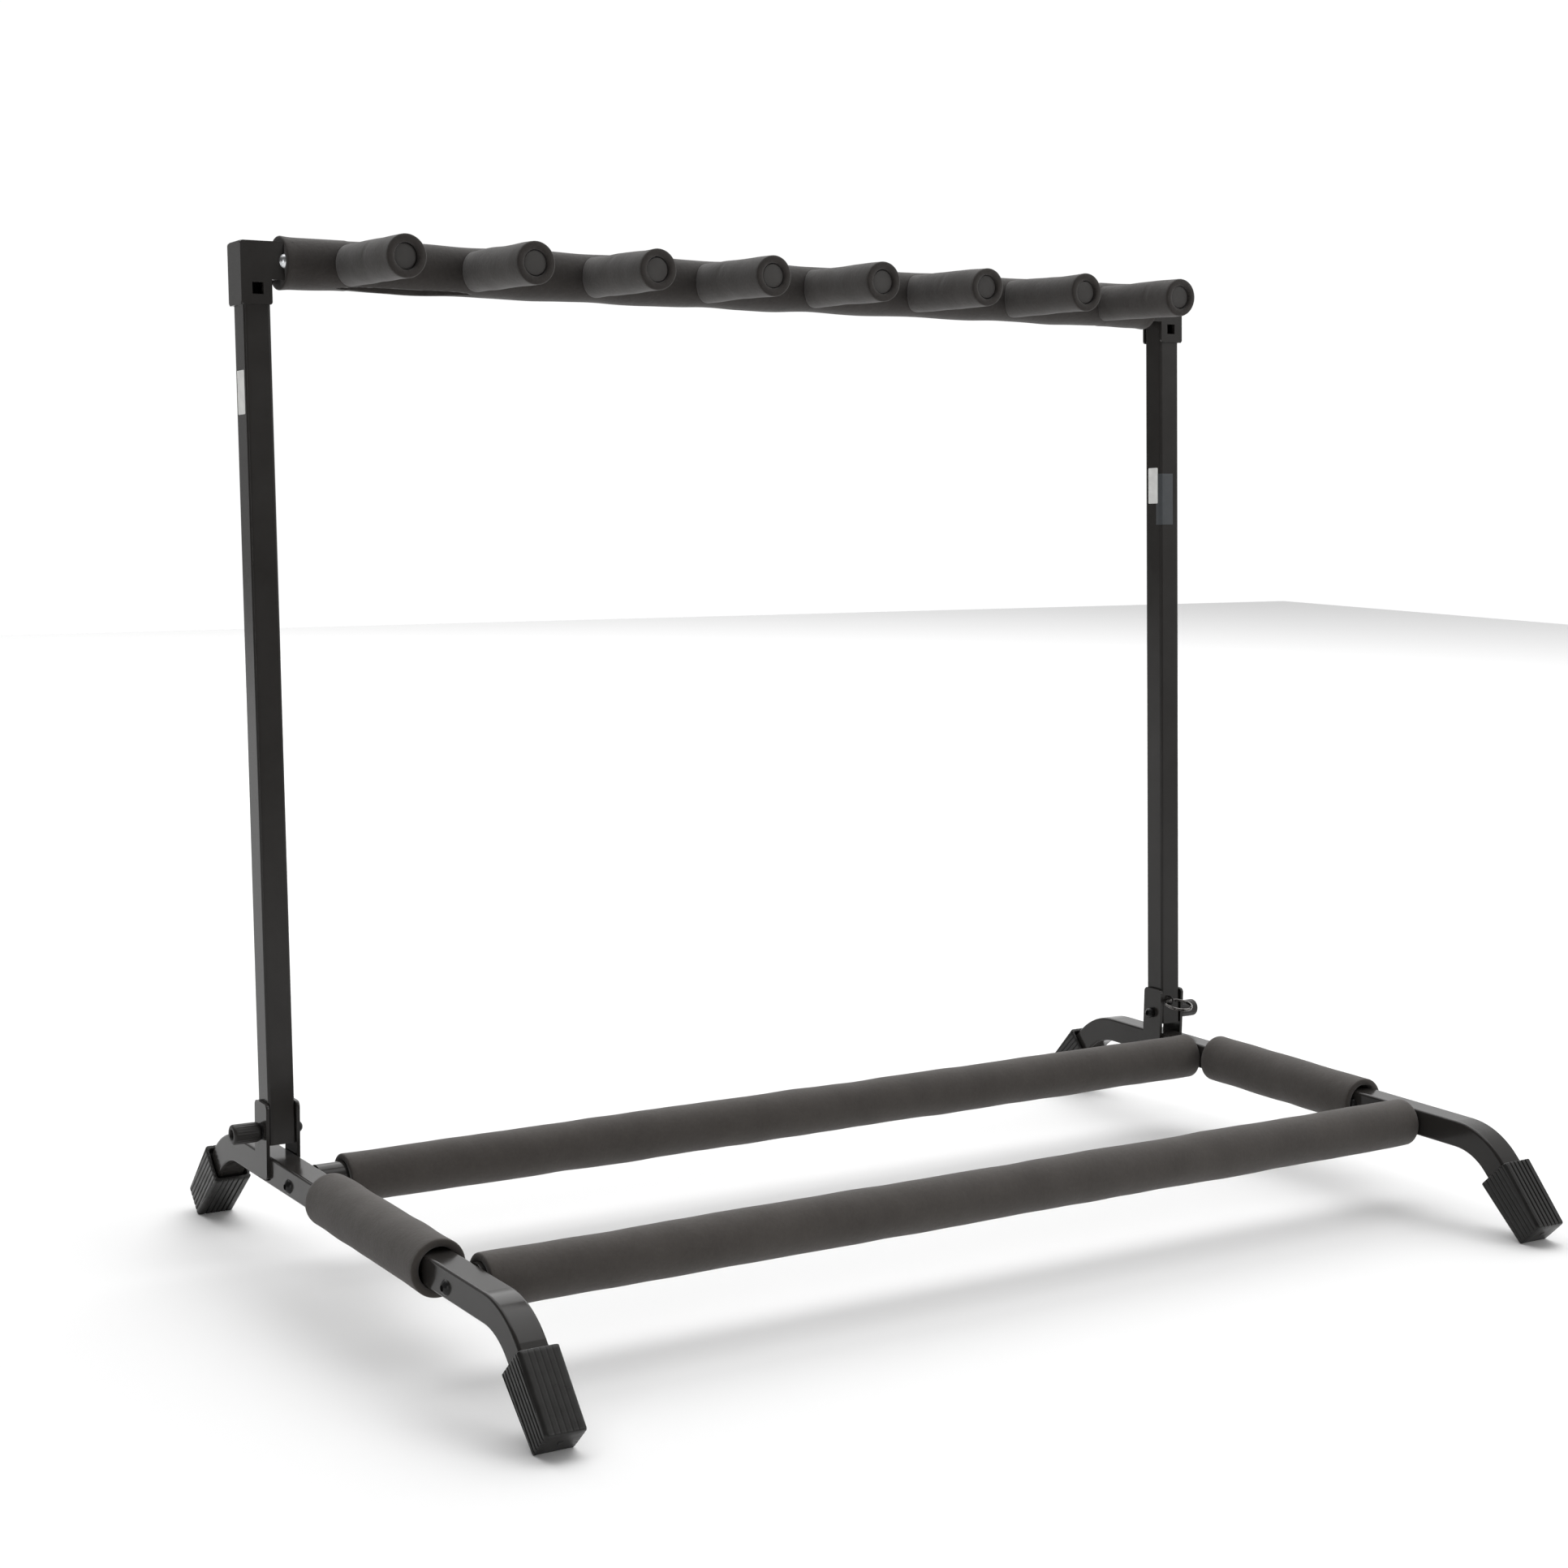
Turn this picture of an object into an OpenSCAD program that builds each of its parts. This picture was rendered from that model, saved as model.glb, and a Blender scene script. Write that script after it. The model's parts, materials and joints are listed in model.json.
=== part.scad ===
// Folding rack for seven guitars: a floor base, a swinging upright frame and eight padded prongs.
// The base stands on four rubber boots. +X runs along the bars, -Y is the side the prongs point to.

/* [Base] */
// Distance between the centre lines of the two legs
leg_spacing = 810; // [700:10:1000]
// Straight run of a leg in front of the upright
leg_front = 349; // [320:1:400]
// Straight run of a leg behind the upright
leg_rear = 56; // [40:1:120]
// Centre-line radius of the bends at the leg ends
bend_r = 53; // [45:1:60]
// Angle that the leg ends turn down
bend_angle = 45; // [40:1:50]
// Outside size of the square tube
tube = 20; // [20:0.5:22]
// Wall of all the tubes
wall = 1.5; // [1:0.1:2]
// Outside corner radius of the square tube
corner = 2; // [1.6:0.1:3]

/* [Body bars] */
// Rear bar, distance in front of the upright
bar_rear = 45; // [42:1:60]
// Front bar, distance in front of the upright
bar_front = 298; // [290:1:310]
// How far the bars lie below the centre line of the legs
bar_drop = 2; // [0:0.5:3]
// Outside diameter of the bar tubes
bar_d = 25; // [22:0.5:26]
// Outside diameter of the foam on the bars
bar_foam_d = 35.6; // [32:0.1:38]
// Bare tube left showing at the left end of the rear bar
bar_bare = 20; // [5:1:30]

/* [Leg sleeves] */
// Outside diameter of the foam sleeve on a leg
sleeve_d = 37.4; // [34:0.1:38]
// Length of a sleeve
sleeve_len = 172; // [140:1:175]
// Middle of the left sleeve, distance in front of the upright
sleeve_left = 181; // [170:1:190]
// Middle of the right sleeve, distance in front of the upright
sleeve_right = 157; // [152:1:190]

/* [Boots] */
// Length of a rubber boot
boot_len = 53.5; // [45:0.5:56]
// Width of a boot across the leg
boot_w = 27.5; // [26:0.5:30]
// Depth of a boot at its open end
boot_mouth = 31; // [29:0.5:32]
// Depth of a boot at its closed end
boot_tip = 25; // [24:0.5:27]
// Ribs along each flat of a boot
boot_ribs = 6; // [4:1:8]

/* [Pivot] */
// Pivot axis above the top face of the legs
pivot_rise = 17; // [16.5:0.5:20]
// Width of a pivot plate
plate_w = 22; // [20:1:24]
// Top of a pivot plate above the leg
plate_rise = 38; // [34:1:42]
// Bottom of a pivot plate below the top of the leg
plate_drop = 16; // [12:1:17]
// Thickness of the pivot plates
plate_t = 2.5; // [2:0.1:3]
// Diameter of a clamp knob
knob_d = 14.5; // [14.5:0.5:20]
// Length of a clamp knob
knob_len = 20; // [20:0.5:26]

/* [Upright frame] */
// Backward lean of the frame
lean = 3; // [0:0.5:6]
// Pivot axis to the axis of the top bar
frame_rise = 602; // [560:1:700]
// Outside diameter of the top bar tube
top_d = 20; // [18:0.5:20]
// Outside diameter of the foam on the top bar
top_foam_d = 35.6; // [34:0.1:37]
// Sheet thickness of the corner brackets
bracket_t = 2; // [1.5:0.1:2.2]

/* [Prongs] */
// Spacing of the prongs
prong_pitch = 96; // [80:1:98]
// Reach of a prong from the axis of the top bar
prong_reach = 105; // [90:1:110]
// Droop of the prongs from square to the frame
prong_droop = 2; // [0:0.5:3]
// Outside diameter of the prong foam
prong_foam_d = 29; // [27:0.5:30]
// Outside diameter of the prong tubes
prong_d = 18; // [16:0.5:18]

/* [Ring] */
// Outside diameter of the split ring
ring_d = 24; // [22:0.5:25]

/* [Hidden] */
$fn = 48;

steel = "#1d1d1f";
foam = "#383533";
rubber = "#17181a";
plastic = "#3a3b3d";
zinc = "#c9ccd0";

// Fits and small sizes shared by several pieces
fit = 0.05;              // radial clearance of a pin in its hole
loose = 0.2;             // radial clearance of a bolt in a plain hole
snug = 0.1;              // foam and rubber on a tube
side_gap = 0.3;          // upright to pivot plate, each side
screw = 6;               // nominal thread diameter
head_d = 10.5;           // button head
head_h = 3.3;
nut_af = 10;             // across the flats of a nut
nut_h = 5;
inner_corner = corner - wall + 0.4;      // inside corner radius of the square tube

// Boot places, measured along the leg end from the end of its bend
boot_start = 6.5;
boot_floor = 5;
boot_end = boot_start + boot_len;
tail = boot_end - boot_floor - 0.5;      // tube runs this far, to just short of the boot's floor
flat_edge = 4;           // plain margin beside the ribs
rib_gap = 1.3;
rib_deep = 0.8;
lip_len = 6;             // flared mouth of a boot
lip_w = 1.5;             // gap between the mouth and the tube, at the sides
lip_d = 2.5;             // same, above and below
rest_cut = 1;            // height trimmed off the lower edge to make the flat it stands on

// Heights that follow from the leg's shape
leg_z = bend_r * (1 - cos(bend_angle)) + boot_end * sin(bend_angle)
    + boot_tip / 2 * cos(bend_angle) - rest_cut;
leg_top = leg_z + tube / 2;
foot_y = (leg_front - leg_rear) / 2;
pivot_z = leg_top + pivot_rise;
bar_len = leg_spacing - tube;
rear_foam_gap = 1;       // bare tube at the right end of the rear bar
front_foam_gap = 3;      // bare tube at each end of the front bar
side_x = leg_spacing / 2;

// Upright frame, measured from the pivot axis
upright_w = tube - 2 * side_gap;
upright_foot = -9;
bracket_top = frame_rise + 13;
bracket_foot = bracket_top - 43;
arm_foot = frame_rise - 13;
arm_end = 28;            // arm reach inward from the centre line of the upright
arm_bolt = 21;
upright_top = bracket_top - bracket_t - snug;
hole_side = 8;           // square hole in the bracket and the upright behind it
hole_z = frame_rise - 19;
top_len = leg_spacing - tube;
top_foam_len = 2 * (side_x - arm_end - 0.5);

// Prongs, from the axis of the top bar outwards
prong_count = 8;
plug_set = 2;            // plug face set back from the end of the foam
plug_rim = 2;            // thickness of the plug's face
plug_stem = 12;
prong_tube_end = prong_reach - plug_set - plug_rim;

// Clamp knob, from the centre line of the leg outwards
washer_t = 1.2;
knob_base = tube / 2 + plate_t + washer_t + 0.1;
knob_neck = 2;           // length of the tapered neck
knob_flutes = 14;
nut_set = 4;             // depth of the moulded-in nut from the knob's base

// Eyelet and ring
eye_x = side_x - 2;
eye_z = 11;
eye_wire = 1.6;
eye_r = 3.1;
eye_out = 2;
ring_wire = 1.8;
ring_h = 3.2;
ring_droop = 13;

// Square tube profile with round corners
module square_profile(w, d, r) {
    square([w - 2 * r, d], center = true);
    square([w, d - 2 * r], center = true);
    for (sx = [-1, 1], sy = [-1, 1])
        translate([sx * (w / 2 - r), sy * (d / 2 - r)]) circle(r);
}

// Rectangle with four round corners, given by its low and high corners
module round_rect(low, high, r) {
    translate([(low[0] + high[0]) / 2, (low[1] + high[1]) / 2])
        square_profile(high[0] - low[0], high[1] - low[1], r);
}

// Places a piece of the base on the left (-1) or right (1) leg, outward being +X
module at_leg(side) {
    translate([side * side_x, foot_y, leg_z]) mirror([side < 0 ? 1 : 0, 0, 0]) children();
}

// Places a piece about the pivot of one side, outward being +X
module at_pivot(side) {
    translate([side * side_x, foot_y, pivot_z]) mirror([side < 0 ? 1 : 0, 0, 0]) children();
}

// Places a piece of the leaning frame, with its origin on the pivot axis midway between the legs
module in_frame() {
    translate([0, foot_y, pivot_z]) rotate([-lean, 0, 0]) children();
}

// Same, about the centre line of one upright, outward being +X
module at_upright(side) {
    in_frame() translate([side * side_x, 0, 0]) mirror([side < 0 ? 1 : 0, 0, 0]) children();
}

// Carries a piece round the centre of a bend to its far end.
// There +Z runs down the leg end and +Y faces the floor.
module down_tail(reach) {
    translate([0, reach, -bend_r]) rotate([-bend_angle, 0, 0])
        translate([0, 0, bend_r]) rotate([-90, 0, 0]) children();
}

// Bend and sloping end of a leg, in the +Y direction
module leg_end(reach, size, r, run) {
    translate([0, reach, -bend_r]) rotate([0, -90, 0]) rotate_extrude(angle = bend_angle)
        translate([bend_r, 0]) square_profile(size, size, r);
    down_tail(reach) linear_extrude(run) square_profile(size, size, r);
}

// Whole solid run of a leg: straight middle and both turned-down ends
module leg_run(size, r, run) {
    translate([0, leg_rear, 0]) rotate([90, 0, 0])
        linear_extrude(leg_rear + leg_front) square_profile(size, size, r);
    leg_end(leg_rear, size, r, run);
    mirror([0, 1, 0]) leg_end(leg_front, size, r, run);
}

module leg_tube(side) {
    color(steel) at_leg(side) difference() {
        leg_run(tube, corner, tail);
        leg_run(tube - 2 * wall, inner_corner, tail + 1);
        for (y = [-bar_rear, -bar_front])
            translate([-tube, y, -bar_drop]) rotate([0, 90, 0])
                cylinder(h = 2 * tube, d = screw + 2 * loose);
    }
}

// Flat plate welded to one side of a leg, drilled for the pivot bolt
module pivot_plate(side, place) {
    x = place > 0 ? tube / 2 : -tube / 2 - plate_t;
    color(steel) at_leg(side) difference() {
        translate([x, 0, 0]) rotate([90, 0, 90]) linear_extrude(plate_t)
            round_rect([-plate_w / 2, tube / 2 - plate_drop], [plate_w / 2, tube / 2 + plate_rise], 4);
        translate([-tube, 0, tube / 2 + pivot_rise]) rotate([0, 90, 0])
            cylinder(h = 2 * tube, d = screw + 2 * loose);
    }
}

// Ribbed block that is open at z = boot_start and closed at z = boot_end
module boot_body() {
    taper = atan((boot_mouth - boot_tip) / 2 / boot_len);
    rib_step = (boot_w - flat_edge) / boot_ribs;
    difference() {
        rotate([90, 0, 90]) translate([0, 0, -boot_w / 2]) linear_extrude(boot_w)
            polygon([[-boot_mouth / 2, boot_start], [boot_mouth / 2, boot_start],
                [boot_tip / 2, boot_end], [-boot_tip / 2, boot_end]]);
        for (sx = [-1, 1], i = [0 : boot_ribs])
            translate([sx * boot_w / 2, (i - boot_ribs / 2) * rib_step, boot_start + boot_len / 2])
                cube([2 * rib_deep, rib_gap, boot_len + 2], center = true);
        for (i = [1 : boot_ribs - 1])
            translate([(i - boot_ribs / 2) * rib_step, boot_tip / 2, boot_end]) rotate([taper, 0, 0])
                translate([-rib_gap / 2, -rib_deep, -boot_len - 2])
                    cube([rib_gap, 2 * rib_deep, boot_len + 4]);
        translate([0, 0, boot_start - 1]) linear_extrude(boot_len - boot_floor + 1)
            square_profile(tube + 2 * snug, tube + 2 * snug, corner);
        translate([0, 0, boot_start - 1]) linear_extrude(lip_len + 1)
            square_profile(tube + 2 * lip_w, tube + 2 * lip_d, corner);
    }
}

// Boot on one end of one leg, trimmed flat where it stands on the floor
module boot(side, front) {
    color(rubber) difference() {
        at_leg(side) mirror([0, front ? 1 : 0, 0]) down_tail(front ? leg_front : leg_rear) boot_body();
        translate([-leg_spacing, -leg_spacing, -20]) cube([2 * leg_spacing, 2 * leg_spacing, 20]);
    }
}

// Tube that runs along X between the legs
module cross_bar(y) {
    color(steel) translate([0, foot_y - y, leg_z - bar_drop]) rotate([0, 90, 0]) difference() {
        cylinder(h = bar_len, d = bar_d, center = true);
        cylinder(h = bar_len + 2, d = bar_d - 2 * wall, center = true);
    }
}

// Foam tube on a cross bar, with bare tube left at each end
module bar_foam(y, left_gap, right_gap) {
    run = bar_len - left_gap - right_gap;
    color(foam) translate([left_gap - bar_len / 2, foot_y - y, leg_z - bar_drop]) rotate([0, 90, 0])
        difference() {
            cylinder(h = run, d = bar_foam_d);
            translate([0, 0, -1]) cylinder(h = run + 2, d = bar_d + 2 * snug);
        }
}

// Foam sleeve on the straight run of a leg
module leg_foam(side, middle) {
    color(foam) at_leg(side) translate([0, -middle + sleeve_len / 2, 0]) rotate([90, 0, 0]) difference() {
        cylinder(h = sleeve_len, d = sleeve_d);
        translate([0, 0, -1]) linear_extrude(sleeve_len + 2)
            square_profile(tube + 2 * snug, tube + 2 * snug, corner);
    }
}

// Threaded plugs pressed into the four bar ends
module bar_end_plugs() {
    plug_len = 18;
    color(plastic) for (side = [-1, 1], y = [bar_rear, bar_front])
        at_leg(side) translate([-tube / 2, -y, -bar_drop]) rotate([0, -90, 0]) difference() {
            cylinder(h = plug_len, d = bar_d - 2 * wall);
            translate([0, 0, -1]) cylinder(h = plug_len + 2, d = screw + 2 * fit);
        }
}

// Domed head on z = 0
module dome(dia, tall) {
    rotate_extrude() intersection() {
        translate([0, tall - dome_radius(dia, tall)]) circle(dome_radius(dia, tall), $fn = 96);
        square([dia / 2, tall]);
    }
}

// Button-head screw along +Z, with its head above z = 0 and a hexagon socket
module button_screw(dia, tall, shank) {
    socket_deep = 2.2;
    difference() {
        union() {
            dome(dia, tall);
            translate([0, 0, -shank]) cylinder(h = shank, d = screw);
        }
        translate([0, 0, tall - socket_deep]) cylinder(h = socket_deep + 1, d = 4.6, $fn = 6);
    }
}

// Radius of the dome over a head of this diameter and height
function dome_radius(dia, tall) = (dia * dia / 4 + tall * tall) / (2 * tall);

module bar_bolts() {
    color(steel) for (side = [-1, 1], y = [bar_rear, bar_front])
        at_leg(side) translate([tube / 2, -y, -bar_drop]) rotate([0, 90, 0])
            button_screw(head_d, head_h, tube + 15);
}

// Pivot bolt: round head inside the inner plate, thread reaching into the clamp knob
module pivot_bolt(side) {
    grip = tube + 2 * plate_t;
    color(steel) at_pivot(side) translate([-grip / 2, 0, 0]) rotate([0, -90, 0])
        button_screw(8.5, 6, grip + knob_len - 4);
}

module pivot_washers() {
    color(steel) for (side = [-1, 1]) at_pivot(side)
        translate([tube / 2 + plate_t, 0, 0]) rotate([0, 90, 0]) difference() {
            cylinder(h = washer_t, d = 12);
            translate([0, 0, -1]) cylinder(h = washer_t + 2, d = screw + 2 * loose);
        }
}

// Clamp knob turned on the pivot bolt: tapered neck, ribbed barrel, stepped end with a recess
module knob(side) {
    r = knob_d / 2;
    flute = 2.4;
    recess = 5;
    color(plastic) at_pivot(side) translate([knob_base, 0, 0]) rotate([0, 90, 0]) difference() {
        rotate_extrude() polygon([[0, 0], [r - 1.2, 0], [r, knob_neck],
            [r, knob_len - 2.6], [r - 1.2, knob_len - 1.4],
            [r - 2.2, knob_len - 1.4], [r - 2.8, knob_len], [0, knob_len]]);
        for (i = [0 : knob_flutes - 1]) rotate([0, 0, i * 360 / knob_flutes])
            translate([r + 0.5, 0, knob_neck + 1]) cylinder(h = knob_len, d = flute);
        translate([0, 0, -1]) cylinder(h = knob_len + 2, d = screw + 2 * fit);
        translate([0, 0, knob_len - recess]) cylinder(h = recess + 1, d = 7.6);
        translate([0, 0, nut_set]) hex_nut_shape();
    }
}

// Nut moulded into a knob
module knob_nut(side) {
    color(zinc) at_pivot(side) translate([knob_base + nut_set, 0, 0]) rotate([0, 90, 0]) hex_nut();
}

module upright_tube(side) {
    color(steel) at_upright(side) difference() {
        translate([0, 0, upright_foot]) linear_extrude(upright_top - upright_foot)
            square_profile(upright_w, tube, corner);
        translate([0, 0, upright_foot - 1]) linear_extrude(upright_top - upright_foot + 2)
            square_profile(upright_w - 2 * wall, tube - 2 * wall, inner_corner);
        translate([-tube, 0, 0]) rotate([0, 90, 0]) cylinder(h = 2 * tube, d = screw + 2 * fit);
        translate([-hole_side / 2, -tube, hole_z - hole_side / 2]) cube([hole_side, tube, hole_side]);
    }
}

// One cheek of a corner bracket: a foot over the upright and an arm along the top bar
module bracket_cheek() {
    outer = tube / 2 + bracket_t;
    rotate([90, 0, 0]) linear_extrude(bracket_t) {
        round_rect([-tube / 2 - 0.3, bracket_foot], [outer, bracket_top], 2);
        round_rect([-arm_end, arm_foot], [outer, bracket_top], 2);
    }
}

// Channel of folded sheet that follows the corner: outer side, top, front cheek and rear cheek
module corner_bracket(side) {
    depth = tube / 2 + snug;
    outer = tube / 2 + bracket_t;
    web = 2 * depth + 1;
    color(steel) at_upright(side) difference() {
        union() {
            translate([0, -depth, 0]) bracket_cheek();
            translate([0, depth + bracket_t, 0]) bracket_cheek();
            translate([tube / 2, -web / 2, bracket_foot])
                cube([bracket_t, web, bracket_top - bracket_foot - 1]);
            translate([-arm_end + 1, -web / 2, bracket_top - bracket_t])
                cube([arm_end + outer - 2, web, bracket_t]);
        }
        translate([-arm_bolt, tube, frame_rise]) rotate([90, 0, 0])
            cylinder(h = 2 * tube, d = screw + 2 * loose);
        translate([-hole_side / 2, -tube, hole_z - hole_side / 2]) cube([hole_side, tube, hole_side]);
    }
}

// Outside of a hexagon nut that lies on z = 0
module hex_nut_shape() {
    cylinder(h = nut_h, d = nut_af / cos(30), $fn = 6);
}

module hex_nut() {
    difference() {
        hex_nut_shape();
        translate([0, 0, -1]) cylinder(h = nut_h + 2, d = screw + 2 * fit);
    }
}

// Zinc-plated domed bolts through the bracket arms and the ends of the top bar
module top_bar_bolts() {
    stack = tube + 2 * snug + 2 * bracket_t;
    color(zinc) for (side = [-1, 1]) at_upright(side)
        translate([-arm_bolt, -stack / 2, frame_rise]) rotate([90, 0, 0]) {
            dome(head_d, head_h);
            translate([0, 0, -stack - nut_h - 1]) cylinder(h = stack + nut_h + 1, d = screw);
        }
}

module top_bar_nuts() {
    behind = tube / 2 + snug + bracket_t;
    color(zinc) for (side = [-1, 1]) at_upright(side)
        translate([-arm_bolt, behind + nut_h, frame_rise]) rotate([90, 0, 0]) hex_nut();
}

module top_bar_tube() {
    color(steel) in_frame() translate([0, 0, frame_rise]) difference() {
        rotate([0, 90, 0]) cylinder(h = top_len, d = top_d, center = true);
        rotate([0, 90, 0]) cylinder(h = top_len + 2, d = top_d - 2 * wall, center = true);
        for (side = [-1, 1]) translate([side * (side_x - arm_bolt), tube, 0]) rotate([90, 0, 0])
            cylinder(h = 2 * tube, d = screw + 2 * loose);
    }
}

module top_bar_foam() {
    color(foam) in_frame() translate([0, 0, frame_rise]) difference() {
        rotate([0, 90, 0]) cylinder(h = top_foam_len, d = top_foam_d, center = true);
        rotate([0, 90, 0]) cylinder(h = top_foam_len + 2, d = top_d + 2 * snug, center = true);
        for (i = [1 : prong_count]) to_prong(i) cylinder(h = top_foam_d, d = prong_d + 2 * snug);
    }
}

// Carries a piece to the axis of one prong: +Z runs out along the prong from the top bar
module to_prong(i) {
    x = (i - (prong_count + 1) / 2) * prong_pitch;
    translate([x, 0, 0]) rotate([90 + prong_droop, 0, 0]) children();
}

// Same, in the leaning frame
module at_prong(i) {
    in_frame() translate([0, 0, frame_rise]) to_prong(i) children();
}

module prong_tube(i) {
    color(steel) difference() {
        at_prong(i) difference() {
            cylinder(h = prong_tube_end, d = prong_d);
            translate([0, 0, -1]) cylinder(h = prong_tube_end + 2, d = prong_d - 2 * wall);
        }
        in_frame() translate([0, 0, frame_rise]) rotate([0, 90, 0])
            cylinder(h = top_len, d = top_d, center = true);
    }
}

module prong_foam(i) {
    color(foam) difference() {
        at_prong(i) difference() {
            cylinder(h = prong_reach, d = prong_foam_d);
            translate([0, 0, -1]) cylinder(h = prong_reach + 2, d = prong_d + 2 * snug);
        }
        in_frame() translate([0, 0, frame_rise]) rotate([0, 90, 0])
            cylinder(h = top_len, d = top_foam_d + 2 * snug, center = true);
    }
}

module prong_plug(i) {
    color(plastic) at_prong(i) {
        translate([0, 0, prong_tube_end]) cylinder(h = plug_rim, d = prong_d);
        translate([0, 0, prong_tube_end - plug_stem])
            cylinder(h = plug_stem + 0.5, d = prong_d - 2 * wall);
    }
}

// Small staple on the front of the right upright that the ring hangs in
module ring_eyelet() {
    color(steel) at_upright(1) translate([eye_x - side_x, -tube / 2 - eye_out, eye_z]) {
        rotate([0, 90, 0]) rotate([0, 0, 180]) rotate_extrude(angle = 180)
            translate([eye_r, 0]) circle(d = eye_wire, $fn = 24);
        for (s = [-1, 1]) translate([0, 0, s * eye_r]) rotate([-90, 0, 0])
            cylinder(h = eye_out, d = eye_wire, $fn = 24);
    }
}

// Double-wound split ring, drawn as one closed band
module split_ring() {
    middle = ring_d / 2 - ring_wire / 2;
    color(zinc) at_upright(1) translate([eye_x - side_x, -tube / 2 - eye_out, eye_z])
        rotate([ring_droop, 0, 0]) translate([0, -middle, 0])
            rotate_extrude($fn = 64) translate([middle, 0]) square_profile(ring_wire, ring_h, 0.6);
}

leg_tube(-1);  // left_leg_tube
leg_tube(1);  // right_leg_tube
pivot_plate(-1, 1);  // left_outer_pivot_plate
pivot_plate(-1, -1);  // left_inner_pivot_plate
pivot_plate(1, 1);  // right_outer_pivot_plate
pivot_plate(1, -1);  // right_inner_pivot_plate
boot(-1, true);  // front_left_boot
boot(-1, false);  // rear_left_boot
boot(1, true);  // front_right_boot
boot(1, false);  // rear_right_boot
cross_bar(bar_rear);  // rear_bar_tube
cross_bar(bar_front);  // front_bar_tube
bar_foam(bar_rear, bar_bare, rear_foam_gap);  // rear_bar_foam
bar_foam(bar_front, front_foam_gap, front_foam_gap);  // front_bar_foam
leg_foam(-1, sleeve_left);  // left_leg_foam
leg_foam(1, sleeve_right);  // right_leg_foam
bar_end_plugs();
bar_bolts();
pivot_bolt(-1);  // left_pivot_bolt
pivot_bolt(1);  // right_pivot_bolt
pivot_washers();
knob(-1);  // left_knob
knob(1);  // right_knob
knob_nut(-1);  // left_knob_nut
knob_nut(1);  // right_knob_nut
upright_tube(-1);  // left_upright_tube
upright_tube(1);  // right_upright_tube
corner_bracket(-1);  // left_corner_bracket
corner_bracket(1);  // right_corner_bracket
top_bar_bolts();
top_bar_nuts();
top_bar_tube();
top_bar_foam();
ring_eyelet();
split_ring();
prong_tube(1);  // prong_1_tube
prong_foam(1);  // prong_1_foam
prong_plug(1);  // prong_1_plug
prong_tube(2);  // prong_2_tube
prong_foam(2);  // prong_2_foam
prong_plug(2);  // prong_2_plug
prong_tube(3);  // prong_3_tube
prong_foam(3);  // prong_3_foam
prong_plug(3);  // prong_3_plug
prong_tube(4);  // prong_4_tube
prong_foam(4);  // prong_4_foam
prong_plug(4);  // prong_4_plug
prong_tube(5);  // prong_5_tube
prong_foam(5);  // prong_5_foam
prong_plug(5);  // prong_5_plug
prong_tube(6);  // prong_6_tube
prong_foam(6);  // prong_6_foam
prong_plug(6);  // prong_6_plug
prong_tube(7);  // prong_7_tube
prong_foam(7);  // prong_7_foam
prong_plug(7);  // prong_7_plug
prong_tube(8);  // prong_8_tube
prong_foam(8);  // prong_8_foam
prong_plug(8);  // prong_8_plug
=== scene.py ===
import json
import math
import random

import bmesh
import bpy
import numpy as np
from mathutils import Matrix, Vector, noise


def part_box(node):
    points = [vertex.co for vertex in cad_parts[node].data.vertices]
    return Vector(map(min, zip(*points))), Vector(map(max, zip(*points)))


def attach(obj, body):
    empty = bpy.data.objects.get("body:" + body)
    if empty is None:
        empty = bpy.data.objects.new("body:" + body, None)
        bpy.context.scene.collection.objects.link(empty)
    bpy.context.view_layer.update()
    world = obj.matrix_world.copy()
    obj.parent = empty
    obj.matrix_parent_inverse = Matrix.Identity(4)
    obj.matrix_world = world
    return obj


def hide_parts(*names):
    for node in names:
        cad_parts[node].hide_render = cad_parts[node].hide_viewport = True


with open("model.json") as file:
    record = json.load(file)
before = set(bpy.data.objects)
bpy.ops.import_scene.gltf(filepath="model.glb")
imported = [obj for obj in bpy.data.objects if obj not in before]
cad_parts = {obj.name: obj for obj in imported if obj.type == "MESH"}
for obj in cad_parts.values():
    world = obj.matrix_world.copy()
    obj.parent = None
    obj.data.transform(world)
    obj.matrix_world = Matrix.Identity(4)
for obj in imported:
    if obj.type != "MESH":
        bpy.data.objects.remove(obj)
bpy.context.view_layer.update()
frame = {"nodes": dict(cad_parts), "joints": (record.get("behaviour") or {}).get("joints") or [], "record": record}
MM = 0.001
AXIS_X = Vector((1, 0, 0))


# ---------------------------------------------------------------- places taken from the frame

def middle(node):
    low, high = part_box(node)
    return (low + high) / 2


def size(node):
    low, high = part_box(node)
    return high - low


pivot = middle("left_pivot_bolt")
top = middle("top_bar_tube")
LEAN = math.atan2(top.y - pivot.y, top.z - pivot.z)
IN_FRAME = Matrix.Translation((0, pivot.y, pivot.z)) @ Matrix.Rotation(-LEAN, 4, "X")
TOP_BAR = Matrix.Translation((0, top.y, top.z)) @ Matrix.Rotation(-LEAN, 4, "X")
PRONG_DROOP = math.radians(2)
PRONGS = range(1, 9)


# ---------------------------------------------------------------- camera, light and floor

CAMERA_PLACE = (-1.0780, -1.5702, 0.5756)
CAMERA_ANGLES = (-32.433, -7.346, 0.793)       # yaw, pitch and roll, degrees
CAMERA_LENS = 60.65                            # mm
CAMERA_SENSOR = 36                             # mm
CAMERA_CLIP_END = 50
BRIGHT_SIDE = (0.85, 0.45, 0.1)                # direction in which the surroundings are brightest
FLOOR_REACH = 6
FAR_FLOOR_PAINTED_LIGHT = 0.95                             # the floor far away, made whiter as painted light
NEAR_FLOOR_PAINTED_SHADE = 0.82                            # the floor close to the rack, made darker as painted shade


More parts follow.
